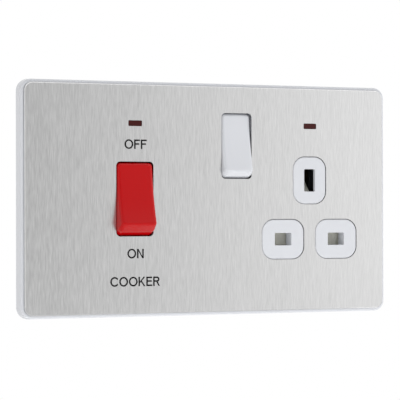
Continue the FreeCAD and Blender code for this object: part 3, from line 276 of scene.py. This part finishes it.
class StageSettings(PropertyGroup):
    """Camera, lamps, floor and world."""

    camera_place: FloatVectorProperty(
        name="Camera place", description="Where the camera stands",
        default=(-0.25706, -0.61882, -0.00493), unit="LENGTH", subtype="TRANSLATION")
    yaw: FloatProperty(
        name="Yaw", description="How far the camera is turned to the right",
        default=math.radians(22.41), unit="ROTATION", subtype="ANGLE")
    pitch: FloatProperty(
        name="Pitch", description="How far the camera looks up",
        default=math.radians(0.396), unit="ROTATION", subtype="ANGLE")
    roll: FloatProperty(
        name="Roll", description="How far the camera leans",
        default=math.radians(-0.128), unit="ROTATION", subtype="ANGLE")
    lens: FloatProperty(
        name="Lens", description="Focal length on a 36 mm sensor", default=161.2, unit="CAMERA")
    low_power: FloatProperty(
        name="Low power", description="Power of the soft lamp below the front", default=1.8, unit="POWER")
    edge_power: FloatProperty(
        name="Edge power", description="Power of the strip below, which draws the rockers' edges",
        default=0.2, unit="POWER")
    left_power: FloatProperty(
        name="Left power", description="Power of the soft lamp at the left", default=1.0, unit="POWER")
    right_power: FloatProperty(
        name="Right power", description="Power of the soft lamp at the right", default=2.9, unit="POWER")
    back_power: FloatProperty(
        name="Back power", description="Power of the soft lamp behind", default=3.5, unit="POWER")
    room: StringProperty(name="Room", description="Colour of the light of the room", default="#D2D2D2")
    ahead: FloatProperty(
        name="Ahead", description="Brightness of what lies straight before the plate, as gloss mirrors it",
        default=0.4)
    to_right: FloatProperty(
        name="To the right", description="Brightness added at the far right, as gloss mirrors it",
        default=0.82)
    to_left: FloatProperty(
        name="To the left", description="Brightness added at the far left, as gloss mirrors it", default=0.6)
    overhead: FloatProperty(
        name="Overhead", description="Brightness added high up, as gloss mirrors it", default=0.9)
    underfoot: FloatProperty(
        name="Underfoot", description="Brightness of the floor, as gloss mirrors it", default=0.8)
    floor: StringProperty(name="Floor", description="Colour of the floor", default="#F4F4F4")
    floor_drop: FloatProperty(
        name="Floor drop", description="How far the floor lies below the middle of the plate",
        default=0.45, unit="LENGTH", subtype="DISTANCE")
    floor_cloud: FloatProperty(
        name="Floor's cloud size", description="Size of the faint clouds of shade in the floor's paint",
        default=0.3, unit="LENGTH", subtype="DISTANCE")
    floor_shade: FloatProperty(
        name="Floor's cloud shade", description="How bright the darkest cloud is beside the paint",
        default=0.98, subtype="FACTOR")


def clouded(tree, shader, code, size, shade):
    """Feeds the shader a colour that drifts towards a darker or lighter shade of it, in clouds.

    The clouds' size is in metres. It gives back the coordinates, for the material's other patterns.
    """
    colour = linear(code)
    place = add_node(tree, "ShaderNodeTexCoord")
    clouds = add_node(tree, "ShaderNodeTexNoise", {"Scale": 1 / size, "Detail": 3.0},
                      {"Vector": place.outputs["Object"]})
    shades = add_node(tree, "ShaderNodeMix", {"A": colour, "B": [c * shade for c in colour[:3]] + [1]},
                      {"Factor": clouds.outputs["Fac"]}, data_type="RGBA")
    tree.links.new(shades.outputs[2], shader.inputs["Base Color"])
    return place


def arc(centre, radii, start, end, steps):
    """Points on an ellipse's arc, from one angle to another in degrees."""
    turns = [math.radians(start + (end - start) * step / steps) for step in range(steps + 1)]
    return [(centre[0] + radii[0] * math.cos(a), centre[1] + radii[1] * math.sin(a)) for a in turns]


class COOKERUNIT_OT_steel(Operator):
    """Brush the stainless steel face plate"""

    bl_idname = "cookerunit.steel"
    bl_label = "Brushed steel plate"

    def execute(self, context):
        steel = context.scene.cooker_steel
        # Stainless steel sheet, belt brushed from top to bottom: fine upright lines and a sheen that is
        # smeared sideways. The lines are drawn about four times coarser than real ones, so that they show.
        material, tree, shader = new_material("stainless_steel_brushed_vertically", {
            "Metallic": 1.0, "Roughness": steel.roughness, "Anisotropic": steel.spread})
        across = add_node(tree, "ShaderNodeTangent", direction_type="RADIAL", axis="Z")
        tree.links.new(across.outputs["Tangent"], shader.inputs["Tangent"])
        place = add_node(tree, "ShaderNodeTexCoord")
        bands = {}
        for name, width, length in (("line", steel.line_width, steel.line_length),
                                    ("streak", steel.streak_width, steel.streak_length)):
            stretched = add_node(tree, "ShaderNodeMapping", {"Scale": (1 / width, 1 / width, 1 / length)},
                                 {"Vector": place.outputs["Object"]})
            bands[name] = add_node(tree, "ShaderNodeTexNoise", {"Scale": 1.0, "Detail": 1.0},
                                   {"Vector": stretched.outputs["Vector"]})
        both = add_node(tree, "ShaderNodeMix", {"Factor": steel.streak_share},
                        {"A": bands["line"].outputs["Fac"], "B": bands["streak"].outputs["Fac"]})
        dark, pale = ([c * (1 + change) for c in linear(steel.colour)[:3]] + [1]
                      for change in (-steel.contrast, steel.contrast))
        shades = add_node(tree, "ShaderNodeMix", {"A": dark, "B": pale},
                          {"Factor": both.outputs[0]}, data_type="RGBA")
        tree.links.new(shades.outputs[2], shader.inputs["Base Color"])
        # Nearly all of the noise lies between 0.3 and 0.7.
        rough = add_node(tree, "ShaderNodeMapRange",
                         {"From Min": 0.3, "From Max": 0.7,
                          "To Min": steel.roughness - steel.roughness_drift,
                          "To Max": steel.roughness + steel.roughness_drift},
                         {"Value": bands["line"].outputs["Fac"]})
        tree.links.new(rough.outputs["Result"], shader.inputs["Roughness"])
        bump = add_node(tree, "ShaderNodeBump", {"Strength": steel.relief, "Distance": steel.line_depth},
                        {"Height": both.outputs[0]})
        tree.links.new(bump.outputs["Normal"], shader.inputs["Normal"])
        dress(material, "face_plate")
        return {"FINISHED"}


class COOKERUNIT_OT_mouldings(Operator):
    """Finish the white, red and grey mouldings"""

    bl_idname = "cookerunit.mouldings"
    bl_label = "Mouldings"

    def execute(self, context):
        plastic = context.scene.cooker_plastic
        # Each finish: its material, colour, roughness, the grain's strength, refraction, how strongly it
        # mirrors, and the pieces that have it.
        finishes = (
            # Injection moulded in a polished mould: cool white with soft, bright highlights on its edges.
            ("polycarbonate_white_moulded_gloss", plastic.white, 0.22, 0.08, 1.585, 0.5,
             ("mounting_frame", "socket_front", "socket_rocker")),
            # The same mould finish in a deep colour, which keeps its red where white would glare.
            ("polycarbonate_red_moulded_gloss", plastic.red, 0.18, 0.06, 1.585, 0.2, ("cooker_rocker",)),
            # Nylon from a plain mould: dull and slightly warm, so that it reads as a piece of its own.
            ("nylon_shutter_moulded_satin", plastic.shutter, 0.45, 0.2, 1.53, 0.4, ("shutter",)),
            # Thermoset pressed hot: nearly black, with a fine grain that breaks up its weak shine.
            ("urea_formaldehyde_moulded_satin", plastic.housing, 0.42, 0.35, 1.55, 0.4,
             ("cooker_switch_housing", "cooker_switch_base", "socket_base")),
            # Undyed nylon for the hidden plungers: milky and half matt.
            ("nylon_plunger_moulded_natural", plastic.white, 0.4, 0.2, 1.53, 0.4,
             ("cooker_live_plunger", "cooker_neutral_plunger", "socket_plunger")),
        )
        for name, code, roughness, relief, ior, specular, wearers in finishes:
            material, tree, shader = new_material(name, {"Roughness": roughness, "IOR": ior,
                                                         "Specular IOR Level": specular})
            place = clouded(tree, shader, code, plastic.cloud, plastic.cloud_shade)
            # The grain is drawn coarser than a mould's own, which no picture of the whole unit shows.
            grain = add_node(tree, "ShaderNodeTexNoise", {"Scale": 1 / plastic.grain, "Detail": 2.0},
                             {"Vector": place.outputs["Object"]})
            bump = add_node(tree, "ShaderNodeBump", {"Strength": relief, "Distance": plastic.grain_depth},
                            {"Height": grain.outputs["Fac"]})
            tree.links.new(bump.outputs["Normal"], shader.inputs["Normal"])
            dress(material, *wearers)
        return {"FINISHED"}


def prism(name, outline, front, back):
    """A straight block along Y, whose outline is given as points of X and Z."""
    count = len(outline)
    places = [(x, y, z) for y in (front, back) for x, z in outline]
    sides = [(step, count + step, count + (step + 1) % count, (step + 1) % count) for step in range(count)]
    mesh = bpy.data.meshes.new(name)
    mesh.from_pydata(places, [], [tuple(range(count)), tuple(range(count, 2 * count))[::-1], *sides])
    made = bpy.data.objects.new(name, mesh)
    bpy.context.scene.collection.objects.link(made)
    return made


def rounded_outline(left, right, low, high, corner):
    """A rounded rectangle's points, in order."""
    points = []
    for x, z, turn in ((right - corner, high - corner, 0), (left + corner, high - corner, 90),
                       (left + corner, low + corner, 180), (right - corner, low + corner, 270)):
        points += arc((x, z), (corner, corner), turn, turn + 90, CORNER_STEPS)
    return points


class COOKERUNIT_OT_socket_front(Operator):
    """Hollow the socket's front moulding behind its earth pad and before the shutter"""

    bl_idname = "cookerunit.socket_front"
    bl_label = "Hollow socket front"

    def execute(self, context):
        socket = context.scene.cooker_socket
        front = NODES["socket_front"]
        piece = bpy.data.objects.new("socket_front_hollow", front.data.copy())
        context.scene.collection.objects.link(piece)
        low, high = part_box("socket_front")
        x, z = socket.pad_middle
        half_x, half_z = (side / 2 - socket.side_wall for side in socket.pad_size)
        room = prism("pad_room", rounded_outline(x - half_x, x + half_x, z - half_z, z + half_z,
                                                 socket.room_corner),
                     low.y + socket.front_wall, high.y + MM)
        shutter_low, shutter_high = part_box("shutter")
        gap = prism("shutter_gap", rounded_outline(
            shutter_low.x, shutter_high.x, shutter_low.z, socket.row_height + socket.shutter_half,
            socket.side_wall / 2), socket.shutter_front - socket.shutter_gap, high.y + MM)
        # The ledge closes the gap over the right pad, where the notch for the wall box's lug lies.
        left, right = socket.ledge_sides
        bottom, top = socket.ledge_heights
        ledge = prism("notch_ledge", [(right, top), (left, top), (left, bottom), (right, bottom)],
                      socket.flange_front, high.y)
        for shape, operation in ((ledge, "UNION"), (room, "DIFFERENCE"), (gap, "DIFFERENCE")):
            step = piece.modifiers.new("shaped", "BOOLEAN")
            step.operation = operation
            step.solver = "EXACT"
            step.object = shape
        context.view_layer.update()
        mesh = bpy.data.meshes.new_from_object(piece.evaluated_get(context.evaluated_depsgraph_get()))
        piece.modifiers.clear()
        piece.data = mesh
        for shape in (room, gap, ledge):
            bpy.data.objects.remove(shape)
        # The normals stored for the old faces don't fit the new ones.
        if "custom_normal" in mesh.attributes:
            mesh.attributes.remove(mesh.attributes["custom_normal"])
        mesh.polygons.foreach_set("use_smooth", [True] * len(mesh.polygons))
        mesh.set_sharp_from_angle(angle=SHARP_ANGLE)
        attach(piece, PLATE)
        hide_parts("socket_front")
        return {"FINISHED"}


class COOKERUNIT_OT_neons(Operator):
    """Finish the neon windows, lamps and resistors"""

    bl_idname = "cookerunit.neons"
    bl_label = "Neon windows and lamps"

    def execute(self, context):
        plastic = context.scene.cooker_plastic
        # Each finish: its material, colour, clouds' size and shade, surface, and the piece of both lamps.
        finishes = (
            # Clear plastic dyed dark red: nearly black while the lamp is off, with a small wet glint.
            ("polycarbonate_red_clear_moulded", plastic.lens, 2 * MM, 0.8,
             {"Roughness": 0.2, "IOR": 1.585, "Transmission Weight": 0.2, "Specular IOR Level": 0.15},
             "neon_lens"),
            # Drawn glass tube: clear, with sharp glints along its length.
            ("soda_glass_drawn_tube", plastic.glass, 4 * MM, 0.95,
             {"Roughness": 0.03, "IOR": 1.52, "Transmission Weight": 1.0}, "neon_lamp"),
            # Dipped lacquer: sand coloured, uneven and half glossy.
            ("resistor_lacquer_dipped", plastic.lacquer, 1.2 * MM, 0.9,
             {"Roughness": 0.35, "IOR": 1.5}, "neon_resistor"),
        )
        for name, code, size, shade, values, piece in finishes:
            material, tree, shader = new_material(name, values)
            clouded(tree, shader, code, size, shade)
            dress(material, "cooker_" + piece, "socket_" + piece)
        return {"FINISHED"}


class COOKERUNIT_OT_metalwork(Operator):
    """Finish the screws, springs, terminals and strips"""

    bl_idname = "cookerunit.metalwork"
    bl_label = "Metalwork"

    def execute(self, context):
        metal = context.scene.cooker_metal
        strips = [name for name in NODES if name.endswith(("_strip", "_contact", "_terminal", "_link"))]
        springs = [name for name in NODES if name.endswith("_spring")]
        # Each finish: its material, colour, roughness, the tarnish's shade, and the pieces that have it.
        finishes = (
            # Pressed brass strip: warm yellow with clouds of brown tarnish.
            ("brass_pressed_and_machined", metal.brass, 0.3, 0.82, strips),
            # Zinc plated steel: cold, pale and fairly bright.
            ("steel_zinc_plated", metal.zinc, 0.26, 0.88, ["terminal_screws", "body_screws"]),
            # Drawn spring wire: darker and duller than the plated screws.
            ("spring_steel_drawn", metal.wire, 0.34, 0.85, springs),
        )
        for name, code, roughness, shade, wearers in finishes:
            material, tree, shader = new_material(name, {"Metallic": 1.0, "Roughness": roughness})
            clouded(tree, shader, code, metal.tarnish, shade)
            dress(material, *wearers)
        return {"FINISHED"}


def glyph(letter, stroke):
    """A capital's width and outlines, where its height is 1. A hole is an outline inside another."""
    half = 0.5
    # Half the height of a round letter, which would look smaller than the straight ones at 0.5.
    tall = 0.515
    if letter == "O":
        width, steps = 0.98, 47
        return width, [arc((width / 2, half), (width / 2 - inset, tall - inset), 0, 352.5, steps)
                       for inset in (0, stroke)]
    if letter == "C":
        width, wide = 0.9, 0.49
        outer = arc((wide, half), (wide, tall), 38, 322, 44)
        inner = arc((wide, half), (wide - stroke, tall - stroke), 330, 30, 40)
        return width, [outer + inner]
    if letter == "F":
        width, bar = 0.66, 0.44
        return width, [[(0, 0), (stroke, 0), (stroke, bar), (0.58, bar), (0.58, bar + stroke),
                        (stroke, bar + stroke), (stroke, 1 - stroke), (width, 1 - stroke), (width, 1),
                        (0, 1)]]
    if letter == "E":
        width, bar = 0.68, 0.45
        return width, [[(0, 0), (width, 0), (width, stroke), (stroke, stroke), (stroke, bar),
                        (0.62, bar), (0.62, bar + stroke), (stroke, bar + stroke),
                        (stroke, 1 - stroke), (0.66, 1 - stroke), (0.66, 1), (0, 1)]]
    if letter == "N":
        width, cut = 0.76, 0.24
        return width, [[(0, 0), (stroke, 0), (stroke, 1 - cut), (width - stroke, 0), (width, 0),
                        (width, 1), (width - stroke, 1), (width - stroke, cut), (stroke, 1), (0, 1)]]
    if letter == "K":
        width = 0.78
        return width, [[(0, 0), (stroke, 0), (stroke, 0.33), (0.27, 0.46), (0.6, 0), (width, 0),
                        (0.38, 0.57), (0.76, 1), (0.57, 1), (stroke, 0.51), (stroke, 1), (0, 1)]]
    if letter == "R":
        width, low = 0.76, 0.44
        middle = (1 + low) / 2
        reach = (1 - low) / 2
        steps = 14
        bowl = arc((0.44, middle), (0.27, reach), 90, -60, steps)
        hole = arc((0.42, middle), (0.27 - stroke + 0.02, reach - stroke), -90, 90, steps)
        return width, [[(0, 0), (stroke, 0), (stroke, low), (0.36, low), (0.6, 0), (width, 0)]
                       + [(0.53, low + 0.02)] + bowl[::-1] + [(0, 1)],
                       [(stroke, low + stroke)] + hole + [(stroke, 1 - stroke)]]
    raise ValueError(f"no outline is drawn for the letter {letter}")


def word_object(name, word, height, stroke, gap, thickness):
    """A word as one flat mesh of even thickness, centred on its own origin and facing +Z."""
    curve = bpy.data.curves.new(name, "CURVE")
    curve.dimensions = "2D"
    curve.fill_mode = "BOTH"
    curve.extrude = thickness / 2
    shapes = [glyph(letter, stroke / height) for letter in word]
    whole = sum(width for width, _ in shapes) + gap * (len(word) - 1)
    left = -whole / 2
    for width, outlines in shapes:
        for outline in outlines:
            spline = curve.splines.new("POLY")
            spline.points.add(len(outline) - 1)
            for point, (x, z) in zip(spline.points, outline):
                point.co = ((left + x) * height, (z - 0.5) * height, 0, 1)
            spline.use_cyclic_u = True
        left += width + gap
    holder = bpy.data.objects.new(name + "_outline", curve)
    bpy.context.scene.collection.objects.link(holder)
    bpy.context.view_layer.update()
    mesh = bpy.data.meshes.new_from_object(holder.evaluated_get(bpy.context.evaluated_depsgraph_get()))
    bpy.data.objects.remove(holder)
    bpy.data.curves.remove(curve)
    made = bpy.data.objects.new(name, mesh)
    bpy.context.scene.collection.objects.link(made)
    return made


class COOKERUNIT_OT_lettering(Operator):
    """Print the plain function words on the plate"""

    bl_idname = "cookerunit.lettering"
    bl_label = "Printed words"

    def execute(self, context):
        lettering = context.scene.cooker_lettering
        # Printed ink: flat black with hardly any shine, so that it stays readable on the bright steel.
        ink, tree, shader = new_material("enamel_ink_screen_printed", {
            "Roughness": 0.5, "IOR": 1.5, "Specular IOR Level": 0.15})
        clouded(tree, shader, lettering.colour, lettering.patch, lettering.patch_shade)
        for name, word, x, z in WORDS:
            printed = word_object(name, word, lettering.cap_height, lettering.stroke, lettering.gap,
                                  lettering.thickness)
            printed.rotation_euler = (math.radians(90), 0, 0)
            printed.location = (x * MM, STEEL_FRONT - lettering.thickness / 2, z * MM)
            printed.data.materials.clear()
            printed.data.materials.append(ink)
            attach(printed, PLATE)
        return {"FINISHED"}


class COOKERUNIT_OT_stage(Operator):
    """Set the camera, lamps, floor and world"""

    bl_idname = "cookerunit.stage"
    bl_label = "Stage"

    def execute(self, context):
        stage = context.scene.cooker_stage
        self.place_camera(context, stage)
        self.lay_floor(stage)
        self.light_room(context, stage)
        for name, place, size, mirrored in LAMPS:
            self.hang_lamp(name, place, size, getattr(stage, name + "_power"), mirrored)
        context.scene.view_settings.view_transform = "Standard"
        return {"FINISHED"}

    def hang_lamp(self, name, place, size, power, mirrored):
        """Hangs a soft lamp aimed at the plate's middle. Gloss mirrors only a lamp that is marked so."""
        data = bpy.data.lights.new("lamp_" + name, "AREA")
        data.shape = "RECTANGLE"
        data.size, data.size_y = size
        data.energy = power
        made = bpy.data.objects.new("lamp_" + name, data)
        made.location = place
        made.rotation_euler = (-Vector(place)).to_track_quat("-Z", "Y").to_euler()
        made.visible_glossy = mirrored
        made.visible_camera = False
        bpy.context.scene.collection.objects.link(made)

    def place_camera(self, context, stage):
        """Stands the camera where the photograph was taken from."""
        ahead = Vector((math.sin(stage.yaw) * math.cos(stage.pitch),
                        math.cos(stage.yaw) * math.cos(stage.pitch), math.sin(stage.pitch)))
        level = Vector((math.cos(stage.yaw), -math.sin(stage.yaw), 0))
        upright = level.cross(ahead)
        right = math.cos(stage.roll) * level + math.sin(stage.roll) * upright
        up = math.cos(stage.roll) * upright - math.sin(stage.roll) * level
        data = bpy.data.cameras.new("camera")
        data.lens = stage.lens
        data.sensor_width = SENSOR_WIDTH
        data.clip_start, data.clip_end = 0.01, 50.0
        camera = bpy.data.objects.new("camera", data)
        turned = Matrix((right, up, -ahead)).transposed().to_4x4()
        camera.matrix_world = Matrix.Translation(stage.camera_place) @ turned
        context.scene.collection.objects.link(camera)
        context.scene.camera = camera

    def lay_floor(self, stage):
        """Lays the pale floor, which is clear from below so that no view is shut off."""
        mesh = bpy.data.meshes.new("floor")
        corners = [(x * FLOOR_REACH, y * FLOOR_REACH, 0) for x, y in ((-1, -1), (1, -1), (1, 1), (-1, 1))]
        mesh.from_pydata(corners, [], [(0, 1, 2, 3)])
        floor = bpy.data.objects.new("floor", mesh)
        floor.location.z = -stage.floor_drop
        bpy.context.scene.collection.objects.link(floor)
        material, tree, shader = new_material("painted_studio_floor", {"Roughness": 0.8})
        clouded(tree, shader, stage.floor, stage.floor_cloud, stage.floor_shade)
        rays = add_node(tree, "ShaderNodeLightPath")
        glow = add_node(tree, "ShaderNodeMapRange", {"To Min": 1.0, "To Max": stage.underfoot},
                        {"Value": rays.outputs["Is Glossy Ray"]})
        pale = add_node(tree, "ShaderNodeEmission", {"Color": WHITE},
                        {"Strength": glow.outputs["Result"]})
        direct = add_node(tree, "ShaderNodeMath", None,
                          {0: rays.outputs["Is Camera Ray"], 1: rays.outputs["Is Glossy Ray"]},
                          operation="MAXIMUM")
        lit = add_node(tree, "ShaderNodeMixShader", None,
                       {"Fac": direct.outputs["Value"], 1: shader.outputs["BSDF"],
                        2: pale.outputs["Emission"]})
        side = add_node(tree, "ShaderNodeNewGeometry")
        clear = add_node(tree, "ShaderNodeBsdfTransparent")
        shown = add_node(tree, "ShaderNodeMixShader", None,
                         {"Fac": side.outputs["Backfacing"], 1: lit.outputs["Shader"],
                          2: clear.outputs["BSDF"]})
        tree.links.new(shown.outputs["Shader"], tree.nodes["Material Output"].inputs["Surface"])
        mesh.materials.append(material)

    def light_room(self, context, stage):
        """Gives an even room light, a white backdrop to the camera, and a graded room to gloss."""
        world = bpy.data.worlds.new("studio")
        world.use_nodes = True
        tree = world.node_tree
        tree.nodes.clear()
        rays = add_node(tree, "ShaderNodeLightPath")
        way = add_node(tree, "ShaderNodeTexCoord")
        parts = add_node(tree, "ShaderNodeSeparateXYZ", None, {"Vector": way.outputs["Generated"]})
        glow = add_node(tree, "ShaderNodeValue")
        glow.outputs["Value"].default_value = stage.ahead
        for name, axis, start, end in RISES:
            ramp = add_node(tree, "ShaderNodeMapRange",
                            {"From Min": start, "From Max": end, "To Max": getattr(stage, name)},
                            {"Value": parts.outputs[axis]})
            glow = add_node(tree, "ShaderNodeMath", None,
                            {0: glow.outputs["Value"], 1: ramp.outputs["Result"]}, operation="ADD")
        # Behind the plate's plane the mirrored world is plain white.
        behind = add_node(tree, "ShaderNodeMapRange", {"From Min": -0.1, "From Max": 0.1},
                          {"Value": parts.outputs["Y"]})
        mirrored = add_node(tree, "ShaderNodeMix", {"B": 1.0},
                            {"Factor": behind.outputs["Result"], "A": glow.outputs["Value"]})
        room = add_node(tree, "ShaderNodeBackground", {"Color": linear(stage.room), "Strength": 1.0})
        seen = add_node(tree, "ShaderNodeBackground", {"Color": WHITE},
                        {"Strength": mirrored.outputs[0]})
        white = add_node(tree, "ShaderNodeBackground", {"Color": WHITE, "Strength": 1.0})
        sharp = add_node(tree, "ShaderNodeMath", None,
                         {0: rays.outputs["Is Glossy Ray"], 1: rays.outputs["Is Transmission Ray"]},
                         operation="MAXIMUM")
        lit = add_node(tree, "ShaderNodeMixShader", None,
                       {"Fac": sharp.outputs["Value"], 1: room.outputs["Background"],
                        2: seen.outputs["Background"]})
        shown = add_node(tree, "ShaderNodeMixShader", None,
                         {"Fac": rays.outputs["Is Camera Ray"], 1: lit.outputs["Shader"],
                          2: white.outputs["Background"]})
        add_node(tree, "ShaderNodeOutputWorld", links={"Surface": shown.outputs["Shader"]})
        context.scene.world = world


class COOKERUNIT_PT_looks(Panel):
    """The unit's finishes, in the 3D view's sidebar"""

    bl_idname = "COOKERUNIT_PT_looks"
    bl_label = "Cooker Unit"
    bl_space_type = "VIEW_3D"
    bl_region_type = "UI"
    bl_category = "Cooker Unit"

    def draw(self, context):
        for group in SETTINGS:
            box = self.layout.box()
            settings = getattr(context.scene, group)
            for name in type(settings).__annotations__:
                box.prop(settings, name)
        for operator in OPERATORS:
            self.layout.operator(operator.bl_idname)


SETTINGS = {
    "cooker_steel": SteelSettings,
    "cooker_plastic": PlasticSettings,
    "cooker_socket": SocketSettings,
    "cooker_metal": MetalSettings,
    "cooker_lettering": LetteringSettings,
    "cooker_stage": StageSettings,
}
OPERATORS = (
    COOKERUNIT_OT_steel,
    COOKERUNIT_OT_mouldings,
    COOKERUNIT_OT_socket_front,
    COOKERUNIT_OT_neons,
    COOKERUNIT_OT_metalwork,
    COOKERUNIT_OT_lettering,
    COOKERUNIT_OT_stage,
)


def register():
    """Makes the settings, the operators and the panel known."""
    for name, group in SETTINGS.items():
        bpy.utils.register_class(group)
        setattr(bpy.types.Scene, name, PointerProperty(type=group))
    for part in (*OPERATORS, COOKERUNIT_PT_looks):
        bpy.utils.register_class(part)


def unregister():
    """Takes them away again, in the opposite order."""
    for part in reversed((*OPERATORS, COOKERUNIT_PT_looks)):
        bpy.utils.unregister_class(part)
    for name, group in SETTINGS.items():
        delattr(bpy.types.Scene, name)
        bpy.utils.unregister_class(group)


def main():
    """Dresses the unit."""
    register()
    bpy.ops.cookerunit.steel()
    bpy.ops.cookerunit.mouldings()
    bpy.ops.cookerunit.socket_front()
    bpy.ops.cookerunit.neons()
    bpy.ops.cookerunit.metalwork()
    bpy.ops.cookerunit.lettering()
    bpy.ops.cookerunit.stage()


if __name__ == "__main__":
    main()
